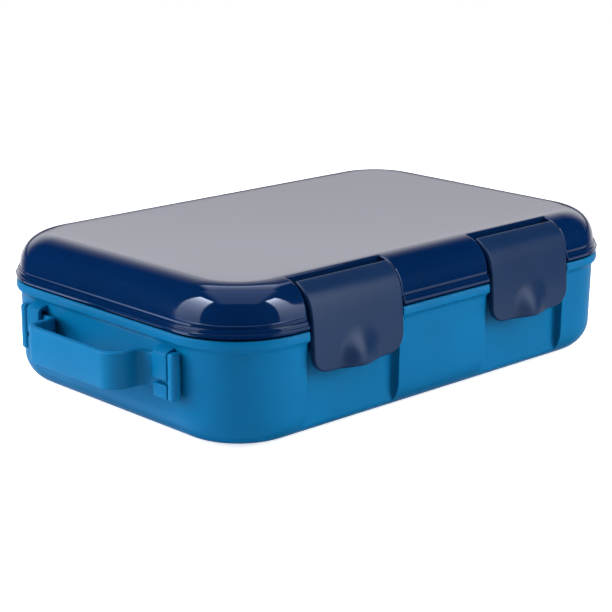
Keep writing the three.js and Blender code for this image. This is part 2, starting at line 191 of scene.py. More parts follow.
def new_object(name, vertices, faces):
    """A smooth-shaded object from millimetre vertices, doubles welded and faces pointing out."""
    mesh = bpy.data.meshes.new(name)
    mesh.from_pydata([tuple(np.array(v) * MM) for v in vertices], [], faces)
    bm = bmesh.new()
    bm.from_mesh(mesh)
    bmesh.ops.remove_doubles(bm, verts=bm.verts, dist=WELD_DISTANCE)
    bmesh.ops.dissolve_degenerate(bm, edges=bm.edges, dist=SMALLEST_EDGE)
    bmesh.ops.recalc_face_normals(bm, faces=bm.faces)
    bm.to_mesh(mesh)
    bm.free()
    mesh.shade_smooth()
    mesh.set_sharp_from_angle(angle=SMOOTH_BELOW)
    return linked(name, mesh)


def joined(name, *objects):
    """The objects as one object."""
    bpy.ops.object.select_all(action="DESELECT")
    for o in objects:
        o.select_set(True)
    bpy.context.view_layer.objects.active = objects[0]
    bpy.ops.object.join()
    objects[0].name = name
    objects[0].data.name = name
    return objects[0]


def finish_piece(obj, body, material, node):
    """Gives a piece its material and the body it rides on, in place of its CAD node."""
    obj.data.materials.clear()
    obj.data.materials.append(material)
    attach(obj, body)
    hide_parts(node)


# ---------------------------------------------------------------- shells that follow the rim
OUT, IN = 0, 1
FLAT, FULL = (0.0, 0.0), (1.0, 0.0)  # (share, extra) of the notch depth outside and inside it
CONVEX_TURNS = np.radians([0, 25, 50, 70, 90])
PLAIN_RUN = 0.35  # straight run beside the rounded end of a notch
RIM_STEP = 3.0
CORNER_POINTS, END_POINTS, REAR_POINTS = 33, 30, 50


def notch_rules(edge, slope, convex, concave):
    """Stations across one end of a notch: (distance from its middle, share of the full depth,
    extra depth). convex and concave are the radii of its outer and its inner corner."""
    rules = [(edge + convex + PLAIN_RUN, 0.0, 0.0)]
    for a in CONVEX_TURNS:
        rules.append((edge + convex * (1 - math.sin(a)), 0.0, convex * (1 - math.cos(a))))
    for inset, drop in edge_steps(concave):
        rules.append((edge - slope - inset, 1.0, -drop))
    rules.append((edge - slope - concave - PLAIN_RUN, 1.0, 0.0))
    return rules


def front_stations(outer, inner):
    """The rim_stations of the front, with its two notches."""
    ends = [(u, (share, extra), FULL) for u, share, extra in outer]
    ends += [(u, FLAT, (share, extra)) for u, share, extra in inner]
    ends.sort(key=lambda e: -e[0])
    widest, deepest = ends[0][0], ends[-1][0]
    centres = LATCH_CENTRES.values()
    front = []
    for centre in centres:
        for sign in (-1, 1):
            front += [(centre + sign * u, o, i) for u, o, i in ends]
        inside_notch = np.arange(-deepest + RIM_STEP, deepest - 1, RIM_STEP)
        front += [(centre + u, FULL, FULL) for u in inside_notch]
    straight = HALF_LENGTH - RIM_CORNER
    for x in np.arange(-straight, straight + 0.1, RIM_STEP):
        if all(abs(x - centre) > widest + 0.4 for centre in centres):
            front.append((x, FLAT, FLAT))
    front.sort(key=lambda f: f[0])
    return [(x, -HALF_WIDTH, 0.0, -1.0, o, i) for x, o, i in front]


def rim_stations(outer, inner):
    """Points round the rim: x, y, outward normal, then (share, extra) of the notch depth for
    the outer and for the inner skin. outer and inner are the notch_rules of the two skins."""
    stations = front_stations(outer, inner)
    end_x = HALF_LENGTH - RIM_CORNER
    side_y = HALF_WIDTH - RIM_CORNER
    ends_y = np.linspace(-side_y, side_y, END_POINTS)[1:-1]
    rear_x = np.linspace(end_x, -end_x, REAR_POINTS)[1:-1]

    def corner(sx, sy, start):
        for a in np.radians(np.linspace(start, start + 90, CORNER_POINTS)):
            nx, ny = math.cos(a), math.sin(a)
            x, y = sx * end_x + RIM_CORNER * nx, sy * side_y + RIM_CORNER * ny
            stations.append((x, y, nx, ny, FLAT, FLAT))

    corner(1, -1, -90)
    stations += [(HALF_LENGTH, y, 1.0, 0.0, FLAT, FLAT) for y in ends_y]
    corner(1, 1, 0)
    stations += [(x, HALF_WIDTH, 0.0, 1.0, FLAT, FLAT) for x in rear_x]
    corner(-1, 1, 90)
    stations += [(-HALF_LENGTH, y, -1.0, 0.0, FLAT, FLAT) for y in -ends_y]
    corner(-1, -1, 180)
    return stations


def rim_shell(name, stations, profile, fillets):
    """A closed shell round the rim. profile rows: (inset, z), the (inset, z) inside a notch,
    and OUT or IN for the skin. fillets is the depth at which a notch's corners are round."""
    plain = np.array([row[0] for row in profile], float)
    notched = np.array([row[1] for row in profile], float)
    skin = np.array([row[2] for row in profile])
    reach = notched - plain
    depth = np.linalg.norm(reach, axis=1)
    safe = np.maximum(depth, 1e-9)
    soften = np.minimum(1, depth / fillets)
    vertices = []
    for x, y, nx, ny, outer, inner in stations:
        share = np.where(skin == OUT, outer[0], inner[0])
        extra = np.where(skin == OUT, outer[1], inner[1])
        moved = plain + reach * np.clip(share + extra * soften / safe, 0, 1)[:, None]
        vertices += [(x - nx * i, y - ny * i, z) for i, z in moved]
    rows, count = len(profile), len(stations)
    faces = []
    for s in range(count):
        a, b = s * rows, (s + 1) % count * rows
        faces += [(a + r, b + r, b + r + 1, a + r + 1) for r in range(rows - 1)]
    faces.append(tuple(s * rows for s in range(count)))
    faces.append(tuple(s * rows + rows - 1 for s in range(count)))
    return new_object(name, vertices, faces)


# ---------------------------------------------------------------- plates with rounded edges
NO_GRID = 50.0  # wider than a small plate, so that its face gets no inner points


def inset_loop(loop, distance):
    """A closed loop (anticlockwise) moved inwards by distance."""
    p = np.array(loop, float)
    before, after = np.roll(p, 1, axis=0), np.roll(p, -1, axis=0)
    tangent = after - before
    tangent /= np.maximum(np.linalg.norm(tangent, axis=1, keepdims=True), 1e-9)
    return p + distance * np.stack([-tangent[:, 1], tangent[:, 0]], axis=1)


def loop_without_doubles(loop, closest=1e-4):
    """A closed loop without the points that repeat their neighbour."""
    kept = loop[:1]
    for p in loop[1:]:
        if math.dist(p, kept[-1]) > closest:
            kept.append(p)
    return kept[:-1] if math.dist(kept[0], kept[-1]) < closest else kept


def inside(points, loop):
    """Which of the points lie inside a closed loop."""
    x, y = points[:, 0], points[:, 1]
    result = np.zeros(len(points), bool)
    for (x0, y0), (x1, y1) in zip(loop, np.roll(loop, -1, axis=0)):
        crosses = (y0 > y) != (y1 > y)
        edge_x = (x1 - x0) * (y - y0) / (y1 - y0 if y1 != y0 else 1e-12) + x0
        result ^= crosses & (x < edge_x)
    return result


def distance_to(points, loop):
    """How far each of the points is from a closed loop."""
    loop = np.array(loop)
    best = np.full(len(points), np.inf)
    for a, b in zip(loop, np.roll(loop, -1, axis=0)):
        d = b - a
        t = np.clip(((points - a) @ d) / max(d @ d, 1e-12), 0, 1)
        best = np.minimum(best, np.linalg.norm(points - (a + t[:, None] * d), axis=1))
    return best


def within(points, loops):
    """Which of the points lie inside the first closed loop and outside the others."""
    wanted = inside(points, loops[0])
    for loop in loops[1:]:
        wanted &= ~inside(points, loop)
    return wanted


def filled_loops(outline, loops, grid):
    """Points and triangles of the flat face inside the first loop and outside the others. Its
    grid of inner points starts at the low corner of outline."""
    lo, hi = np.min(outline, axis=0), np.max(outline, axis=0)
    us, vs = np.arange(lo[0], hi[0], grid), np.arange(lo[1], hi[1], grid)
    points = np.array([(u, v) for u in us for v in vs]).reshape(-1, 2)
    keep = within(points, loops)
    for loop in loops:
        keep &= distance_to(points, loop) > 0.45 * grid
    flat = [tuple(p) for loop in loops for p in loop] + [tuple(p) for p in points[keep]]
    edges, start = [], 0
    for loop in loops:
        edges += [(start + i, start + (i + 1) % len(loop)) for i in range(len(loop))]
        start += len(loop)
    coords, _, triangles, *_ = delaunay_2d_cdt([Vector(p) for p in flat], edges, [], 0, 1e-6)
    coords = np.array([tuple(c) for c in coords])
    middles = np.array([coords[list(t)].mean(axis=0) for t in triangles])
    return coords, [tuple(t) for t, w in zip(triangles, within(middles, loops)) if w]


def plate(name, outline, place, thickness, edge, grid, holes=()):
    """A plate of any outline with rounded edges. outline and holes are anticlockwise loops in
    (u, v); place(u, v, h) gives its points in space, h running from 0 at the face to thickness
    at the back."""
    steps = edge_steps(edge)
    rings = []
    for k, loop in enumerate((outline, *holes)):
        sign = 1 if k == 0 else -1
        clean = loop_without_doubles(loop)
        rings.append([(inset_loop(clean, sign * inset), drop) for inset, drop in steps])

    coords, triangles = filled_loops(outline, [ring[-1][0] for ring in rings], grid)
    n = len(coords)
    vertices = [place(u, v, h) for h in (0.0, thickness) for u, v in coords]
    faces = triangles + [tuple(i + n for i in reversed(t)) for t in triangles]
    for ring in rings:
        levels = ring[::-1] + [(loop, thickness - drop) for loop, drop in ring]
        start, size = len(vertices), len(ring[0][0])
        for loop, h in levels:
            vertices += [place(u, v, h) for u, v in loop]
        faces += ring_faces(start, len(levels), size)
    return new_object(name, vertices, faces)


def lying_at(z):
    """The place of a plate that lies flat at a height."""
    return lambda x, y, h: (x, y, z + h)


def running_from(x):
    """The place of a bar along X, its outline in (y, z)."""
    return lambda y, z, h: (x + h, y, z)


def bar_along_x(name, outline, centre_x, length, edge, holes=()):
    """A straight bar along X with the given outline in (y, z) and rounded end edges."""
    place = running_from(centre_x - length / 2)
    return plate(name, outline, place, length, edge, NO_GRID, holes)


def block(name, outline, place, thickness, bevel):
    """A prism with bevelled edges."""
    count = len(outline)
    vertices = [place(u, v, h) for h in (0.0, thickness) for u, v in outline]
    faces = [tuple(range(count)), tuple(reversed(range(count, 2 * count)))]
    faces += [(i, i + count, (i + 1) % count + count, (i + 1) % count) for i in range(count)]
    made = new_object(name, vertices, faces)
    add_bevel(made, bevel)
    return made


def add_bevel(obj, width):
    """Bevels the object's sharp edges for good."""
    bevel = obj.modifiers.new("edges", "BEVEL")
    bevel.width = width * MM
    bevel.segments = 3
    bevel.limit_method = "ANGLE"
    bevel.angle_limit = math.radians(30)
    graph = bpy.context.evaluated_depsgraph_get()
    baked = bpy.data.meshes.new_from_object(obj.evaluated_get(graph))
    obj.modifiers.clear()
    obj.data = baked
    baked.shade_smooth()
    baked.set_sharp_from_angle(angle=SMOOTH_BELOW)


ROD_SIDES = 40
ROD_CHAMFER = 0.25  # share of the radius


def rod_along_x(name, centre_x, axis, radius, length):
    """A round rod with small chamfers."""
    edge = ROD_CHAMFER * radius
    profile = [(-length / 2, radius - edge), (-length / 2 + edge, radius)]
    profile += [(-x, r) for x, r in reversed(profile)]
    vertices = []
    for x, r in profile:
        for a in np.arange(ROD_SIDES) * 2 * math.pi / ROD_SIDES:
            y, z = axis[0] + r * math.cos(a), axis[1] + r * math.sin(a)
            vertices.append((centre_x + x, y, z))
    return new_object(name, vertices, tube_faces(len(profile), ROD_SIDES))


# ---------------------------------------------------------------- materials
def node_material(name):
    """A new material with its node tree and its shader."""
    material = bpy.data.materials.new(name)
    material.use_nodes = True
    tree = material.node_tree
    return material, tree, tree.nodes["Principled BSDF"]


def set_inputs(tree, node, inputs):
    """Gives a node's inputs, by name or number, a value or the output of another node."""
    for name, value in inputs.items():
        if isinstance(value, bpy.types.NodeSocket):
            tree.links.new(value, node.inputs[name])
        else:
            node.inputs[name].default_value = value


def add_node(tree, kind, inputs=None):
    """A new node's outputs."""
    node = tree.nodes.new("ShaderNode" + kind)
    set_inputs(tree, node, inputs or {})
    return node.outputs


def math_node(tree, operation, inputs):
    """The result of an operation on numbers."""
    node = tree.nodes.new("ShaderNodeMath")
    node.operation = operation
    set_inputs(tree, node, inputs)
    return node.outputs[0]


def texture_space(tree):
    """Object coordinates in metres, so that a noise scale counts its features per metre."""
    return add_node(tree, "TexCoord")["Object"]


def noise(tree, space, scale, detail=3.0, roughness=0.5, stretch=None):
    if stretch:
        space = add_node(tree, "Mapping", {"Vector": space, "Scale": stretch})["Vector"]
    inputs = {"Vector": space, "Scale": scale, "Detail": detail, "Roughness": roughness}
    return add_node(tree, "TexNoise", inputs)["Fac"]


NOISE_LOW, NOISE_HIGH = 0.3, 0.7  # most of a noise lies between these


def ramp(tree, value, low, high):
    """Maps a noise to low..high, which are numbers or colours."""
    if isinstance(low, tuple):
        node = tree.nodes.new("ShaderNodeValToRGB")
        first, last = node.color_ramp.elements
        first.position, last.position = NOISE_LOW, NOISE_HIGH
        first.color, last.color = (*low, 1), (*high, 1)
        tree.links.new(value, node.inputs["Fac"])
        return node.outputs["Color"]
    inputs = {"Value": value, "From Min": NOISE_LOW, "From Max": NOISE_HIGH}
    return add_node(tree, "MapRange", inputs | {"To Min": low, "To Max": high})["Result"]


def bump(tree, shader, layers):
    """Stacks bump layers: (height value, depth in millimetres)."""
    below = {}
    for height, depth in layers:
        inputs = {"Height": height, "Distance": depth * MM}
        below = {"Normal": add_node(tree, "Bump", inputs | below)["Normal"]}
    set_inputs(tree, shader, below)


CLOUD_SCALE, WEAR_SCALE, RIPPLE_SCALE, GRAIN_SCALE = 35.0, 180.0, 22.0, 2600.0
GLOSS_LOW, GLOSS_HIGH = 0.92, 1.08  # shares of a plastic's gloss


def moulded_plastic(name, colour, gloss, mottle=0.06, grain=0.004, ripple=0.01, shine=0.5):
    """Moulded plastic: slight cloudiness in the colour, uneven gloss, a fine surface grain and
    a slow mould ripple. gloss is the middle roughness, mottle the spread of the colour, and
    grain and ripple are depths in millimetres."""
    material, tree, shader = node_material(name)
    space = texture_space(tree)
    cloud = noise(tree, space, CLOUD_SCALE, 4.0)
    darker = tuple(c * (1 - mottle) for c in colour)
    lighter = tuple(min(1, c * (1 + mottle)) for c in colour)
    wear = noise(tree, space, WEAR_SCALE, 5.0, 0.6)
    set_inputs(tree, shader, {
        "Base Color": ramp(tree, cloud, darker, lighter),
        "Roughness": ramp(tree, wear, gloss * GLOSS_LOW, gloss * GLOSS_HIGH),
        "Specular IOR Level": shine,
    })
    waves = noise(tree, space, RIPPLE_SCALE, 2.0)
    bump(tree, shader, [(waves, ripple), (noise(tree, space, GRAIN_SCALE, 2.0), grain)])
    return material


STEEL_DARK, STEEL_LIGHT = (0.50, 0.51, 0.53), (0.66, 0.67, 0.69)
SILICONE_DARK, SILICONE_LIGHT = (0.25, 0.30, 0.335), (0.29, 0.335, 0.37)


def steel(name):
    """Drawn steel wire: fine streaks along X in its colour, gloss and height."""
    material, tree, shader = node_material(name)
    drawn = noise(tree, texture_space(tree), 400.0, 4.0, 0.6, stretch=(0.05, 1.0, 1.0))
    set_inputs(tree, shader, {
        "Metallic": 1.0,
        "Base Color": ramp(tree, drawn, STEEL_DARK, STEEL_LIGHT),
        "Roughness": ramp(tree, drawn, 0.29, 0.42),
    })
    bump(tree, shader, [(drawn, 0.01)])
    return material


def silicone(name):
    """Soft matt silicone with a little light under its surface."""
    material, tree, shader = node_material(name)
    space = texture_space(tree)
    set_inputs(tree, shader, {
        "Base Color": ramp(tree, noise(tree, space, 60.0), SILICONE_DARK, SILICONE_LIGHT),
        "Roughness": ramp(tree, noise(tree, space, 300.0), 0.45, 0.6),
        "Subsurface Weight": 0.15,
        "Subsurface Radius": (0.002, 0.002, 0.002),
    })
    bump(tree, shader, [(noise(tree, space, 1800.0, 2.0), 0.006)])
    return material


TUB_BLUE = moulded_plastic("tub_plastic", (0.0003, 0.114, 0.242), 0.42, shine=0.08)
HANDLE_BLUE = moulded_plastic("handle_plastic", (0.0005, 0.128, 0.265), 0.42, shine=0.12)
LID_NAVY = moulded_plastic("lid_plastic", (0.0008, 0.0128, 0.051), 0.07, 0.05, 0.0004, 0.006)
LATCH_NAVY = moulded_plastic("latch_plastic", (0.002, 0.017, 0.055), 0.3, 0.05, 0.0008, 0.006)
TRAY_PALE = moulded_plastic("tray_plastic", (0.38, 0.44, 0.475), 0.36, 0.02, 0.003)
LINER_PALE = moulded_plastic("liner_plastic", (0.42, 0.47, 0.50), 0.4, 0.02, 0.003)
SEAL_SOFT = silicone("seal_silicone")
PIN_STEEL = steel("pin_steel")


# ---------------------------------------------------------------- tub
STACKING_GROOVE = [
    (25.4, 0), (25.05, 0.15), (24.9, 0.65), (24.6, 0.8),
    (22.4, 0.8), (22.1, 0.65), (21.95, 0.15), (21.6, 0),
]
RIM_BAND = [
    (1.8, 39.5), (1.62, 40.1), (1.25, 40.7), (0.75, 41.15), (0.32, 41.5), (0.08, 41.85),
    (0.02, 42.3), (0.02, 43.2), (0.1, 44.2), (0.22, 44.8), (0.45, 45.12), (0.8, 45.27),
    (1.1, TUB_TOP),
]
TRAY_LEDGE = [
    (1.9, TUB_TOP), (2.2, 45.22), (2.36, 45.0), (2.4, 44.7), (2.4, 43.4), (2.5, 43.1),
    (2.75, 43.0), (3.7, 43.0), (3.95, 42.9), (4.05, 42.6),
]
FOOT_EDGE = 18  # inset where the underside starts to turn up
OUTER_ROUND, INNER_ROUND = 43.5, 44.6  # heights over which the edges of the rim are round


def wall_inset(z):
    return WALL_INSET + WALL_DRAFT * (1 - z / TUB_TOP)


def tub_profile():
    """Half section of the tub from the middle of its underside, over the rim, to the middle of
    its floor."""
    outer = [(SECTION_END, 0), *STACKING_GROOVE, (FOOT_EDGE, 0)]
    foot = arc(0, BOTTOM_RADIUS, BOTTOM_RADIUS, 270, 360, 16)
    outer += [(wall_inset(z) + BOTTOM_RADIUS - x, z) for x, z in foot]
    outer += [(wall_inset(z), z) for z in np.linspace(14.5, 39, 13)]
    outer += RIM_BAND
    inner_radius = BOTTOM_RADIUS - TUB_WALL
    wall_z = np.linspace(40, TUB_FLOOR + inner_radius + 1.5, 8)
    inner = TRAY_LEDGE + [(wall_inset(z) + TUB_WALL, z) for z in wall_z]
    foot = arc(0, inner_radius, inner_radius, 360, 270, 10)
    inner += [(wall_inset(z) + TUB_WALL + inner_radius - x, z + TUB_FLOOR) for x, z in foot]
    inner.append((SECTION_END, TUB_FLOOR))

    rows = []
    for inset, z in outer:
        floor = NOTCH_FLOOR + 0.02 + (inset if z > OUTER_ROUND else 0)
        rows.append(((inset, z), (max(inset, floor), z), OUT))
    for inset, z in inner:
        floor = NOTCH_FLOOR + TUB_WALL + (inset - 2.4 if z > INNER_ROUND else 0)
        rows.append(((inset, z), (max(inset, floor), z), IN))
    return rows


LOOP_FACE_X, LOOP_THICKNESS, LOOP_ROOT_X = -123.0, 1.9, -116.8
LOOP_START_Y = {-1: -46.7, 1: 38.0}
LOOP_WIDTH = 8.7


def strap_loop(side):
    """The split bridge that holds one end of the strap against the tub."""
    face, root = LOOP_FACE_X, LOOP_ROOT_X
    behind = face + LOOP_THICKNESS
    upper = [(26.7, behind), (26.7, face), (37.4, face), (38.6, -121.4), (39.6, root)]
    upper += [(37.0, root), (37.0, behind)]
    lower = [(19.1, face), (24.8, face), (24.8, behind), (20.4, behind), (20.4, root)]
    lower += [(19.1, root)]
    place = lambda z, x, h: (x, LOOP_START_Y[side] + h, z)
    return [block("loop", outline, place, LOOP_WIDTH, 0.45) for outline in (upper, lower)]


CATCH_HALF = 19


def catch_rib(centre_x):
    """The rib on the floor of a notch that the latch's hook passes."""
    y = NOTCH_FLOOR - HALF_WIDTH
    outline = [(y + 1, 37.5), (y + 1, 41.6), (y, 41.0), (-77.6, 40.0), (-77.6, 37.5)]
    return block("catch", outline, running_from(centre_x - CATCH_HALF), 2 * CATCH_HALF, 0.3)


def knuckle(centre_x, length, arm_low, arm_high):
    """A hinge knuckle: a barrel with a bore and an arm that reaches the rim."""
    y, z = HINGE_AXIS
    root = HALF_WIDTH - 1.0
    low = math.degrees(math.asin(max(-0.999, (arm_low - z) / KNUCKLE_RADIUS)))
    high = math.degrees(math.asin(min(0.999, (arm_high - z) / KNUCKLE_RADIUS)))
    outline = [(root, arm_high), (root, arm_low)]
    outline += arc(y, z, KNUCKLE_RADIUS, -180 - low, 180 - high, 30)
    bore = arc(y, z, HINGE_BORE, 0, 360, 24)
    return bar_along_x("knuckle", outline, centre_x, length, 0.35, [bore])


TUB_KNUCKLE_OFFSET, TUB_KNUCKLE_LENGTH, LID_KNUCKLE_LENGTH = 11.65, 8.7, 14.0


def build_tub():
    outer = notch_rules(NOTCH_HALF, 0.1, 0.3, 0.6)
    inner = notch_rules(NOTCH_HALF + TUB_WALL, 0.1, 0.4, 0.5)
    shell = rim_shell("tub", rim_stations(outer, inner), tub_profile(), 1.0)
    pieces = [shell, *strap_loop(-1), *strap_loop(1)]
    pieces += [catch_rib(centre) for centre in LATCH_CENTRES.values()]
    for side in (-1, 1):
        for offset in (-TUB_KNUCKLE_OFFSET, TUB_KNUCKLE_OFFSET):
            centre = side * HINGE_X + offset
            pieces.append(knuckle(centre, TUB_KNUCKLE_LENGTH, 42.6, 45.0))
    tub = joined("tub_body", *pieces)
    finish_piece(tub, "base", TUB_BLUE, "base_tub")


# ---------------------------------------------------------------- handle
# Each value of the strap is that of the grip and its change in the tabs behind the loops.
STRAP_HALF_THICKNESS = (1.5, -0.35)
STRAP_TOP = (36.5, -1.1)
STRAP_BOTTOM = (21.0, 0.5)
TAB_FROM, TAB_BLEND = 27.5, 8.0  # distance from the middle of the strap, length of the change


def strap_path():
    """Plan of the middle of the strap from one end to the other: points (x, y)."""
    half = [(-135.3, 0.0), (-135.3, 8.0), (-135.3, 15.0)]
    half += arc(-128.8, 22.2, 6.5, 180, 90, 14)
    half += [(-127.3, 28.7)]
    half += arc(-125.8, 35.2, (6.15, 6.5), -90, 0, 14)
    half += [(-119.65, 38.0), (-119.65, 42.0), (-119.65, 48.8)]
    return [(x, -y) for x, y in reversed(half[1:])] + half


def build_handle():
    path = np.array(densify(strap_path(), 1.2))
    tangent = np.gradient(path, axis=0)
    tangent /= np.linalg.norm(tangent, axis=1, keepdims=True)
    normal = np.stack([tangent[:, 1], -tangent[:, 0]], axis=1)
    tab = smoothstep((np.abs(path[:, 1]) - TAB_FROM) / TAB_BLEND)
    values = (STRAP_HALF_THICKNESS, STRAP_TOP, STRAP_BOTTOM)
    half_thick, top, bottom = (grip + change * tab for grip, change in values)
    vertices = []
    for p, n, t, hi, lo in zip(path, normal, half_thick, top, bottom):
        middle, height = (hi + lo) / 2, (hi - lo) / 2
        section = rounded_box(t, height, min(0.95, t * 0.8), 5)
        vertices += [(p[0] + n[0] * u, p[1] + n[1] * u, middle + v) for u, v in section]
    faces = tube_faces(len(path), len(vertices) // len(path))
    pieces = [new_object("strap", vertices, faces)]
    for side in (-1, 1):
        outline = rounded_box(2.4, 1.9, 1.5, 6, -121.0, side * 49.1)
        pieces.append(plate("t_bar", outline, lying_at(19.2), 19.1, 0.9, NO_GRID))
    handle = joined("carry_strap", *pieces)
    finish_piece(handle, "base", HANDLE_BLUE, "carry_handle")


# ---------------------------------------------------------------- lid
# The slot for the latch barrel and the notch under it, from the rear of the slot downwards.
SLOT_PATH = [
    (SLOT_REAR, 57.8), (SLOT_REAR - 0.25, 56.6), (SLOT_REAR - 0.95, 55.6), (11.05, 54.6),
    (7.2, 52.5), (6.2, 51.7), (NOTCH_FLOOR, 51.45), (NOTCH_FLOOR, 51.2),
]
# Ridges with ledges between them, slightly undercut so that they catch the low light, and a
# skirt set back above the tub.
LID_BEAD = [
    (1.64, 51.15), (1.57, 51.08), (1.45, 51.02), (1.37, 50.94), (1.35, 50.82), (1.38, 50.5),
    (1.43, 50.0), (1.47, 49.62), (1.46, 49.54), (1.36, 49.48), (0.85, 49.42), (0.68, 49.36),
    (0.58, 49.22), (0.55, 49.0), (0.55, 48.15), (0.5, 48.0), (0.38, 47.93), (0.1, 47.88),
    (-0.08, 47.8), (-0.15, 47.68), (-0.16, 47.58), (-0.13, 47.2), (-0.08, 46.7), (-0.05, 46.48),
    (0.05, 46.36), (0.4, 46.28), (1.5, 46.22), (1.8, 46.0), (1.8, 45.85), (1.88, 45.68),
    (2.1, LID_BOTTOM),
]
SKIRT_INSET, SKIRT_ROUND = 1.8, 45.86  # the skirt, and the height under which its foot rounds
INNER_FOOT = [(-0.4, 0), (-0.1, 0.1), (0, 0.4)]  # foot of the inner skin, from its lowest corner
INNER_FOOT_TOP = 48.5
DEEP_WALL = 7.75  # inset of the inner skin behind a notch
DEEP_PATH = [
    (DEEP_WALL, 49.0), (DEEP_WALL, 50.3), (12.9, 52.9), (15.3, 54.4), (16.3, 57.0),
    (16.3, 61.9), (17.2, 62.45),
]
DEEP_PATH_END = 17.8


def shoulder_curve(rise, extra, steps=90):
    """The dome's shoulder from the flat top down to the bead."""
    angles = np.radians(np.linspace(90, 0, steps + 1))
    share = 1 - np.cos(angles).clip(0) ** SHOULDER_POWER
    inset = SHOULDER_FOOT + extra + SHOULDER_RUN * share
    return list(zip(inset, SHOULDER_Z + rise * np.sin(angles) ** SHOULDER_POWER))


def lid_profile():
    """Half section of the lid from the middle of its top, over the bead, to the middle of its
    underside."""
    curve = np.array(shoulder_curve(LID_TOP - SHOULDER_Z, 0))
    rear_z = float(np.interp(-SLOT_REAR, -curve[:, 0], curve[:, 1]))
    above = [tuple(p) for p in curve[curve[:, 0] > SLOT_REAR + 0.5]][::2]
    start = (SLOT_REAR + 0.35, rear_z + 0.02)
    path = [start, (SLOT_REAR + 0.1, rear_z - 0.08), (SLOT_REAR, rear_z - 0.35), *SLOT_PATH]
    path = densify(path, 0.7)
    beside = (curve[:, 0] <= start[0]) & (curve[:, 1] >= SLOT_PATH[-1][1])
    plain = along(np.vstack([start, curve[beside]]), fractions(path))
    rows = [(p, p, OUT) for p in ((SECTION_END, LID_TOP), (24, LID_TOP), *above)]
    rows += [(tuple(p), q, OUT) for p, q in zip(plain, path)]
    for inset, z in LID_BEAD:
        deep = NOTCH_FLOOR + (inset - SKIRT_INSET if z < SKIRT_ROUND else 0)
        rows.append(((inset, z), (deep, z), OUT))

    wall = SHOULDER_FOOT + LID_WALL
    for side, up in INNER_FOOT:
        z = LID_BOTTOM + up
        rows.append(((wall + side, z), (DEEP_WALL + side, z), IN))
    rows.append(((wall, INNER_FOOT_TOP), (DEEP_WALL, INNER_FOOT_TOP), IN))
    ceiling = LID_TOP - LID_WALL
    inner = np.array(shoulder_curve(ceiling - SHOULDER_Z, LID_WALL)[::-1])[1:]
    deep = densify(DEEP_PATH, 0.8)
    plain = along(inner[inner[:, 0] < DEEP_PATH_END], fractions(deep))
    rows += [(tuple(p), q, IN) for p, q in zip(plain, deep)]
    rows += [((inset, ceiling), (inset, ceiling), IN) for inset in (22, SECTION_END)]
    return rows


def build_lid():
    outer = notch_rules(NOTCH_HALF, 0.0, 0.7, 0.4)
    inner = notch_rules(NOTCH_HALF + 3.5, 0.1, 0.4, 0.5)
    shell = rim_shell("lid", rim_stations(outer, inner), lid_profile(), 0.85)
    centres = (-HINGE_X, HINGE_X)
    knuckles = [knuckle(x, LID_KNUCKLE_LENGTH, LID_BOTTOM, 48.4) for x in centres]
    lid = joined("lid_dome", shell, *knuckles)
    finish_piece(lid, "lid", LID_NAVY, "lid_shell")


# ---------------------------------------------------------------- latches
LATCH_FACE = [  # section of the face as (y, z)
    (-72.0, 63.65), (-74.4, 62.25), (-77.0, 60.3), (-78.6, 58.6), (-79.8, 56.3), (-80.6, 53.6),
    (-81.2, 50.5), (-81.6, 47.0), (-81.9, 43.5), (-82.15, 40.0), (-82.35, 36.0), (-82.5, 24.0),
]
LATCH_CURVE = chaikin(LATCH_FACE)
LATCH_LENGTHS = fractions(LATCH_CURVE)
LATCH_LENGTHS *= np.linalg.norm(np.diff(LATCH_CURVE, axis=0), axis=1).sum()
LATCH_THICKNESS = 2.4
LATCH_BOTTOM = 27.6
LATCH_CORNER = 7.5
LATCH_BOW, LATCH_BOW_HALF = 0.3, 18  # how far the bottom edge bows, half its width
LATCH_EDGE = 0.65
LATCH_ROWS = 52
LIP_HALF_WIDTH = 13.0
LIP_MIDDLE = 29.5
LIP_ABOVE = 14.5
LIP_BELOW = 18.0
LIP_REACH = 3.5
BARREL_RADIUS, BARREL_LENGTH = 2.4, 49.4
HOOK = [(-81.0, 31.9), (-79.6, 31.9), (-77.95, 33.4), (-77.95, 36.9), (-81.0, 36.9)]
HOOK_HALF = 17
RIB = [
    (-73.5, 60.0), (-78.2, 56.2), (-80.1, 50), (-80.8, 42), (-81.0, 36.5), (-79, 36.5),
    (-77, 40), (-76.6, 47), (-75, 55),
]
RIB_OFFSET, RIB_HALF = 23.6, 0.9


def lip_flare(x, z):
    """How far the pull lip stands out of the face: a soft round swelling, cut off by the
    bottom edge."""
    rise = (z - LIP_MIDDLE) / (LIP_ABOVE if z > LIP_MIDDLE else LIP_BELOW)
    return LIP_REACH * float(smoothstep(1 - math.hypot(x / LIP_HALF_WIDTH, rise)))


def latch_point(centre_x, x, length, depth):
    """A point of the latch at a length down its face and a depth behind it."""
    here_and_ahead = [length, length + 0.4]
    y, ahead_y = np.interp(here_and_ahead, LATCH_LENGTHS, LATCH_CURVE[:, 0])
    z, ahead_z = np.interp(here_and_ahead, LATCH_LENGTHS, LATCH_CURVE[:, 1])
    run = math.hypot(ahead_y - y, ahead_z - z)
    back = ((z - ahead_z) / run, (ahead_y - y) / run)
    return (centre_x + x, y - lip_flare(x, z) + depth * back[0], z + depth * back[1])


def latch_columns():
    """Columns across the latch as (side, angle round the bottom corner, share of the straight
    part)."""
    corner = [(a, 1.0) for a in np.radians(np.linspace(90, 9, 10))]
    straight = [(0.0, share) for share in np.linspace(1, 0, 20)]
    half = corner + straight
    return [(-1, a, m) for a, m in half] + [(1, a, m) for a, m in reversed(half[:-1])]


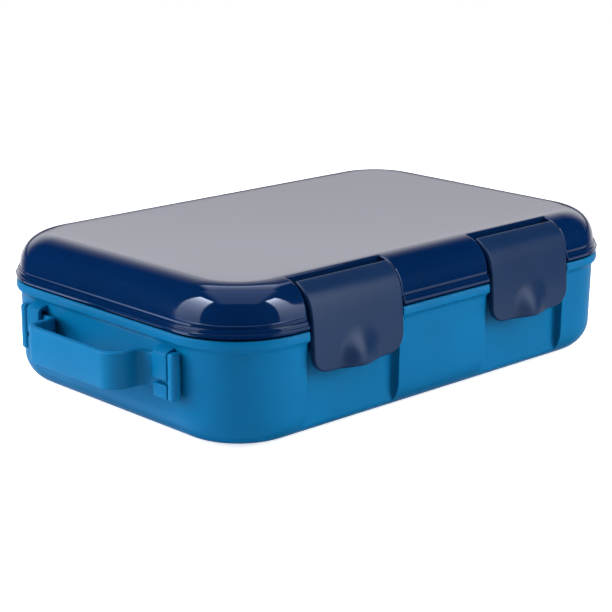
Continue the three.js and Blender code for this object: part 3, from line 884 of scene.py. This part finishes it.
def latch_face_plate(centre_x):
    """The curved plate of the latch: a grid on each face, rounded edges between them."""
    columns = latch_columns()
    across, rows = len(columns), LATCH_ROWS

    def point(column, row, inset, depth):
        side, angle, share = columns[column]
        radius = LATCH_CORNER - inset
        x = side * (share * (LATCH_HALF - LATCH_CORNER) + radius * math.sin(angle))
        bow = LATCH_BOW * max(0, 1 - (x / LATCH_BOW_HALF) ** 2)
        z = LATCH_BOTTOM + inset + radius * (1 - math.cos(angle)) - bow
        end = float(np.interp(-z, -LATCH_CURVE[:, 1], LATCH_LENGTHS))
        return latch_point(centre_x, x, inset + (end - inset) * row / rows, depth)

    vertices, faces = [], []
    for depth in (0.0, LATCH_THICKNESS):
        start = len(vertices)
        for r in range(rows + 1):
            vertices += [point(c, r, LATCH_EDGE, depth) for c in range(across)]
        for r in range(rows):
            for a in range(start + r * across, start + (r + 1) * across - 1):
                faces.append((a, a + 1, a + across + 1, a + across))
    border = [(c, 0) for c in range(across)]
    border += [(across - 1, r) for r in range(1, rows + 1)]
    border += [(c, rows) for c in range(across - 2, -1, -1)]
    border += [(0, r) for r in range(rows - 1, 0, -1)]
    steps = edge_steps(LATCH_EDGE)
    levels = steps[::-1] + [(inset, LATCH_THICKNESS - drop) for inset, drop in steps]
    start = len(vertices)
    for inset, depth in levels:
        vertices += [point(c, r, inset, depth) for c, r in border]
    faces += ring_faces(start, len(levels), len(border))
    return new_object("face", vertices, faces)


def build_latch(side):
    """A latch: its curved face, barrel, hook and the two ribs behind its side edges."""
    centre_x = LATCH_CENTRES[side]
    barrel = arc(*LATCH_PIVOT, BARREL_RADIUS, 0, 360, 40)
    bore = arc(*LATCH_PIVOT, LATCH_BORE, 0, 360, 24)
    pieces = [latch_face_plate(centre_x)]
    pieces.append(bar_along_x("barrel", barrel, centre_x, BARREL_LENGTH, 0.3, [bore]))
    pieces.append(block("hook", HOOK, running_from(centre_x - HOOK_HALF), 2 * HOOK_HALF, 0.3))
    for edge in (-1, 1):
        place = running_from(centre_x + edge * RIB_OFFSET - RIB_HALF)
        pieces.append(block("rib", RIB, place, 2 * RIB_HALF, 0.25))
    latch = joined(f"latch_{side}_lever", *pieces)
    finish_piece(latch, f"{side}_latch", LATCH_NAVY, f"latch_{side}")


# ---------------------------------------------------------------- tray, liner and seal
BAY_CORNER = 0.8
OUTLINE_STEP = 4.0
TRAY_INSET, TRAY_TOP, TRAY_BOTTOM = 2.7, 45.0, 43.3
CUP_FLOOR, CUP_WALL, CUP_FOOT, CUP_LIP = 7.0, 1.5, 8.0, 1.2
LINER_INSET, LINER_Z, LINER_THICKNESS = 4.1, 46.9, 1.8
PAD_Z, PAD_THICKNESS = 46.2, 1.2
SEAL_INSET, SEAL_Z, SEAL_THICKNESS = 9.2, 45.3, 1.3


def notched_outline(inset, floor, half):
    """The rim outline moved in by inset, with bays at the latches. floor is the y of a bay's
    floor and half is half its width."""
    half_x, half_y, corner = HALF_LENGTH - inset, HALF_WIDTH - inset, RIM_CORNER - inset
    corner_steps = 20
    loop = rounded_box(half_x, half_y, corner, corner_steps)
    split = 3 * (corner_steps + 1)
    front = []
    for centre in LATCH_CENTRES.values():
        x0, x1 = centre - half, centre + half
        bay = [
            (x0 - BAY_CORNER, -half_y + BAY_CORNER, 270, 360),
            (x0 + BAY_CORNER, floor - BAY_CORNER, 180, 90),
            (x1 - BAY_CORNER, floor - BAY_CORNER, 90, 0),
            (x1 + BAY_CORNER, -half_y + BAY_CORNER, 180, 270),
        ]
        for x, y, from_angle, to_angle in bay:
            front += arc(x, y, BAY_CORNER, from_angle, to_angle, 4)
    return densify(loop[:split] + front + loop[split:] + [loop[0]], OUTLINE_STEP)[:-1]


def cup_ring(cup, grow):
    """The outline of a compartment, grown by a distance."""
    x, y, half_x, half_y = cup
    return rounded_box(half_x + grow, half_y + grow, CUP_CORNER + grow, 10, x, y)


def cup_levels(lip, foot, floor, top):
    """Section of a cup as (grow, z): rounded lip, drafted wall, rounded foot."""
    levels = [(lip - x, top - lip + y) for x, y in arc(0, 0, lip, 90, 0, 5)]
    levels += [(-0.02 * (top - z), z) for z in np.linspace(top - 6, floor + foot + 2, 5)]
    levels += [(-1.0 - foot + x, floor + foot - y) for x, y in arc(0, 0, foot, 0, 90, 8)]
    return levels


def cup_skin(cup, wall, levels):
    """One skin of a cup: its rings from the flange down, closed by the floor."""
    vertices = []
    for grow, z in levels:
        vertices += [(x, y, z) for x, y in cup_ring(cup, grow + wall)]
    size = len(vertices) // len(levels)
    faces = ring_faces(0, len(levels), size)
    faces.append(tuple(range(len(vertices) - size, len(vertices))))
    return vertices, faces


def build_tray():
    bay_floor = -HALF_WIDTH + NOTCH_FLOOR + TUB_WALL + 0.3
    outline = notched_outline(TRAY_INSET, bay_floor, NOTCH_HALF + 2.5)
    holes = [cup_ring(c, CUP_LIP) for c in CUPS]
    place = lambda x, y, h: (x, y, TRAY_TOP - h)
    pieces = [plate("flange", outline, place, TRAY_TOP - TRAY_BOTTOM, 0.5, 6.0, holes)]
    inner_levels = cup_levels(CUP_LIP, CUP_FOOT, CUP_FLOOR, TRAY_TOP)
    outer_top, outer_lip = TRAY_BOTTOM + 0.6, 0.6
    outer_levels = cup_levels(outer_lip, CUP_FOOT + CUP_WALL, CUP_FLOOR - CUP_WALL, outer_top)
    for cup in CUPS:
        inner_v, inner_f = cup_skin(cup, 0.0, inner_levels)
        outer_v, outer_f = cup_skin(cup, CUP_WALL, outer_levels)
        shift = len(inner_v)
        faces = inner_f + [tuple(i + shift for i in reversed(f)) for f in outer_f]
        size = len(inner_v) // len(inner_levels)
        for i in range(size):
            faces.append((i, i + shift, (i + 1) % size + shift, (i + 1) % size))
        pieces.append(new_object("cup", inner_v + outer_v, faces))
    tray = joined("tray", *pieces)
    finish_piece(tray, "base", TRAY_PALE, "food_tray")


def build_liner():
    bay_floor = -HALF_WIDTH + NOTCH_FLOOR + 2.3
    outline = notched_outline(LINER_INSET, bay_floor, NOTCH_HALF + 3.8)
    pieces = [plate("panel", outline, lying_at(LINER_Z), LINER_THICKNESS, 0.4, 8.0)]
    for cup in CUPS:
        loop = cup_ring(cup, -1.5)
        pieces.append(plate("pad", loop, lying_at(PAD_Z), PAD_THICKNESS, 0.5, 8.0))
    liner = joined("liner", *pieces)
    finish_piece(liner, "lid", LINER_PALE, "lid_liner")


def build_seal():
    half_x, half_y = HALF_LENGTH - SEAL_INSET, HALF_WIDTH - SEAL_INSET
    outline = rounded_box(half_x, half_y, RIM_CORNER - SEAL_INSET, 20)
    holes = [cup_ring(c, 1.5) for c in CUPS]
    seal = plate("seal", outline, lying_at(SEAL_Z), SEAL_THICKNESS, 0.55, 4.0, holes)
    finish_piece(seal, "lid", SEAL_SOFT, "lid_seal")


def build_pins():
    for side, hinge_x in (("left", -HINGE_X), ("right", HINGE_X)):
        for node, body, x, axis, radius, length in (
            (f"hinge_pin_{side}", "base", hinge_x, HINGE_AXIS, *HINGE_PIN),
            (f"latch_pin_{side}", "lid", LATCH_CENTRES[side], LATCH_PIVOT, *LATCH_PIN),
        ):
            pin = rod_along_x(f"{node}_wire", x, axis, radius, length)
            finish_piece(pin, body, PIN_STEEL, node)


# ---------------------------------------------------------------- stage
# Sizes are in metres from here on, and azimuth 0 is the -Y side.
FLOOR_Z = -0.0003  # just under the box, which mustn't share the floor's plane
FLOOR_HALF = 1.2
FLOOR_GLOW = 0.7  # for the camera only: makes the floor as white as the world


def build_floor():
    """A pale paper floor, clear from below and left out of reflections."""
    mesh = bpy.data.meshes.new("floor")
    corners = [(-1, -1), (1, -1), (1, 1), (-1, 1)]
    points = [(x * FLOOR_HALF, y * FLOOR_HALF, FLOOR_Z) for x, y in corners]
    mesh.from_pydata(points, [], [(0, 1, 2, 3)])
    floor = linked("floor", mesh)
    material, tree, shader = node_material("floor_paper")
    ray = add_node(tree, "LightPath")["Is Camera Ray"]
    cloud = noise(tree, texture_space(tree), 4.0)
    set_inputs(tree, shader, {
        "Base Color": ramp(tree, cloud, (0.9, 0.9, 0.9), (0.93, 0.93, 0.93)),
        "Roughness": 0.9,
        "Emission Color": (1.0, 1.0, 1.0, 1),
        "Emission Strength": math_node(tree, "MULTIPLY", {0: ray, 1: FLOOR_GLOW}),
    })
    from_below = add_node(tree, "NewGeometry")["Backfacing"]
    clear = add_node(tree, "BsdfTransparent")[0]
    mixed = add_node(tree, "MixShader", {"Fac": from_below, 1: shader.outputs[0], 2: clear})
    surface = next(node for node in tree.nodes if node.type == "OUTPUT_MATERIAL")
    set_inputs(tree, surface, {"Surface": mixed[0]})
    mesh.materials.append(material)
    floor.visible_glossy = False
    floor.visible_shadow = False


WARM = (1.0, 0.975, 0.965)
COOL = (0.94, 1.05, 1.3)
SKY = (0.86, 1.1, 1.6)

# Brightness over the height or the width of a panel: (place 0..1, share of the radiance).
EVEN = [(0.0, 1.0), (1.0, 1.0)]
SOFT_SIDES = [(0.0, 0.0), (0.12, 1.0), (0.88, 1.0), (1.0, 0.0)]
SOFTBOX_GLOW = [
    (0.0, 0.047), (0.14, 0.07), (0.3, 0.12), (0.5, 0.22), (0.7, 0.4), (0.87, 0.69), (1.0, 1.0),
]
LOW_GLOW = [(0.0, 0.4), (0.45, 0.5), (0.7, 1.0), (0.89, 1.0), (1.0, 0.0)]
SOFT_TOP = [(0.0, 1.0), (0.92, 1.0), (1.0, 0.0)]
WALL_GLOW = [
    (0.0, 0.6), (0.065, 0.74), (0.12, 1.0), (0.18, 1.0), (0.24, 0.9), (0.34, 0.68),
    (0.44, 0.47), (0.54, 0.3), (0.68, 0.13), (0.84, 0.04), (0.99, 0.0),
]
WALL_SIDE = [(0.04, 0.0), (0.13, 0.1), (0.2, 0.3), (0.26, 0.6), (0.31, 1.0)]
WALL_SIDES = WALL_SIDE + [(1 - place, share) for place, share in reversed(WALL_SIDE)]
TABLE_GLOW = [(0.0, 1.0), (0.9, 1.0), (1.0, 0.0)]
CEILING_FRONT_GLOW = [(0.0, 0.62), (1.0, 1.0)]
CEILING_BACK_GLOW = [(0.0, 0.4), (0.4, 0.55), (0.7, 0.9), (1.0, 1.0)]
WORLD_FILL = 0.1  # the world's share in the light on the pieces
CEILING = 1.56


def area_light(name, width, height, colour, radiance, stops, sides):
    """A soft panel that the camera doesn't see. stops and sides are its brightness over its
    height and its width."""
    light = bpy.data.lights.new(name, "AREA")
    light.color = colour
    light.shape = "RECTANGLE"
    light.size, light.size_y = width, height
    light.energy = radiance * math.pi * width * height
    light.use_nodes = True
    tree = light.node_tree
    place = add_node(tree, "SeparateXYZ", {0: add_node(tree, "NewGeometry")["Parametric"]})
    factors = {}
    for index, (axis, shares) in enumerate((("X", sides), ("Y", stops))):
        curve = tree.nodes.new("ShaderNodeValToRGB")
        elements = curve.color_ramp.elements
        elements[0].position, elements[1].position = shares[0][0], shares[-1][0]
        for position, _ in shares[1:-1]:
            elements.new(position)
        for element, (_, share) in zip(elements, shares):
            element.color = (share, share, share, 1)
        set_inputs(tree, curve, {"Fac": place[axis]})
        factors[index] = curve.outputs["Color"]
    strength = math_node(tree, "MULTIPLY", factors)
    set_inputs(tree, tree.nodes["Emission"], {"Strength": strength})
    panel = linked(name, light)
    panel.visible_camera = False
    return panel


def upright_panel(name, azimuth, distance, width, low, high, colour, radiance, stops, sides=EVEN):
    """A panel standing at an azimuth, its edges at the heights low and high."""
    a = math.radians(azimuth)
    panel = area_light(name, width, high - low, colour, radiance, stops, sides)
    panel.location = (distance * math.sin(a), -distance * math.cos(a), (low + high) / 2)
    panel.rotation_euler = (math.radians(90), 0, a)


def hanging_panel(name, azimuth, near, far, width, colour, radiance, stops):
    """A panel overhead that looks down, running from near to far along an azimuth."""
    a = math.radians(azimuth)
    panel = area_light(name, width, far - near, colour, radiance, stops, SOFT_SIDES)
    middle = (near + far) / 2
    panel.location = (middle * math.sin(a), -middle * math.cos(a), CEILING)
    panel.rotation_euler = (0, 0, a - math.pi)


def direction(azimuth, elevation):
    """The unit vector towards an azimuth and an elevation in degrees."""
    a, e = math.radians(azimuth), math.radians(elevation)
    return Vector((math.sin(a) * math.cos(e), -math.cos(a) * math.cos(e), math.sin(e)))


def fill_panel(name, azimuth, elevation, distance, radiance):
    """A square panel that lights the colour of the pieces but is not mirrored in them."""
    panel = area_light(name, 1.0, 1.0, WARM, radiance, EVEN, EVEN)
    away = direction(azimuth, elevation)
    panel.location = away * distance
    panel.rotation_mode = "QUATERNION"
    panel.rotation_quaternion = away.to_track_quat("Z", "Y")
    panel.visible_glossy = False


def build_lights():
    """Softboxes for the ends and the front, low panels for the bead, a wall and a table behind
    for the top, and a ceiling for the shoulders."""
    for name, azimuth, distance, width in (
        ("softbox_left", -114.0, 1.56, 1.12),
        ("softbox_right", 26.3, 1.58, 0.76),
    ):
        upright_panel(name, azimuth, distance, width, -0.3, 2.35, COOL, 15.5, SOFTBOX_GLOW)
    upright_panel("low_glow", 39, 1.6, 2.7, -1.5, -0.2, COOL, 0.6, LOW_GLOW, SOFT_SIDES)
    upright_panel("low_glow_left", -138, 1.6, 1.6, -2.0, -0.49, SKY, 2.0, SOFT_TOP)
    for name, low, high, radiance, stops in (
        ("back_wall", 0.53, 3.1, 1.45, WALL_GLOW),
        ("far_table", -2.4, 0.3, 1.2, TABLE_GLOW),
    ):
        upright_panel(name, 137, 3.0, 10.4, low, high, WARM, radiance, stops, WALL_SIDES)
    fill_panel("fill_left", -132, 16, 2.2, 14.0)
    fill_panel("fill_right", 44, 15, 2.2, 13.0)
    hanging_panel("ceiling_front", 138, -1.05, 0.6, 1.6, SKY, 0.8, CEILING_FRONT_GLOW)
    hanging_panel("ceiling_back", 138, 0.62, 1.5, 1.3, COOL, 2.0, CEILING_BACK_GLOW)


def build_world():
    """A world that is white to the camera and a weak fill for the pieces."""
    world = bpy.data.worlds.new("world")
    world.use_nodes = True
    tree = world.node_tree
    ray = add_node(tree, "LightPath")
    terms = {0: ray["Is Diffuse Ray"], 1: WORLD_FILL, 2: ray["Is Camera Ray"]}
    strength = math_node(tree, "MULTIPLY_ADD", terms)
    background = {"Color": (1.0, 1.0, 1.0, 1), "Strength": strength}
    set_inputs(tree, tree.nodes["Background"], background)
    bpy.context.scene.world = world
    bpy.context.scene.view_settings.view_transform = "Standard"


CAMERA_AZIMUTH, CAMERA_ELEVATION, CAMERA_DISTANCE = -43.25, 15.41, 0.7922
CAMERA_TARGET = Vector((-0.0009, 0.0026, 0.0262))
CAMERA_LENS, CAMERA_SENSOR = 103.5, 36.0
CAMERA_SHIFT = (-0.006, -0.009)


def build_camera():
    back = direction(CAMERA_AZIMUTH, CAMERA_ELEVATION)
    data = bpy.data.cameras.new("camera")
    data.lens, data.sensor_width = CAMERA_LENS, CAMERA_SENSOR
    data.shift_x, data.shift_y = CAMERA_SHIFT
    data.clip_start, data.clip_end = 0.01, 50
    camera = linked("camera", data)
    camera.location = CAMERA_TARGET + back * CAMERA_DISTANCE
    camera.rotation_mode = "QUATERNION"
    camera.rotation_quaternion = (-back).to_track_quat("-Z", "Y")
    bpy.context.scene.camera = camera


build_tub()
build_handle()
build_lid()
for latch_side in LATCH_CENTRES:
    build_latch(latch_side)
build_tray()
build_liner()
build_seal()
build_pins()
build_floor()
build_lights()
build_world()
build_camera()
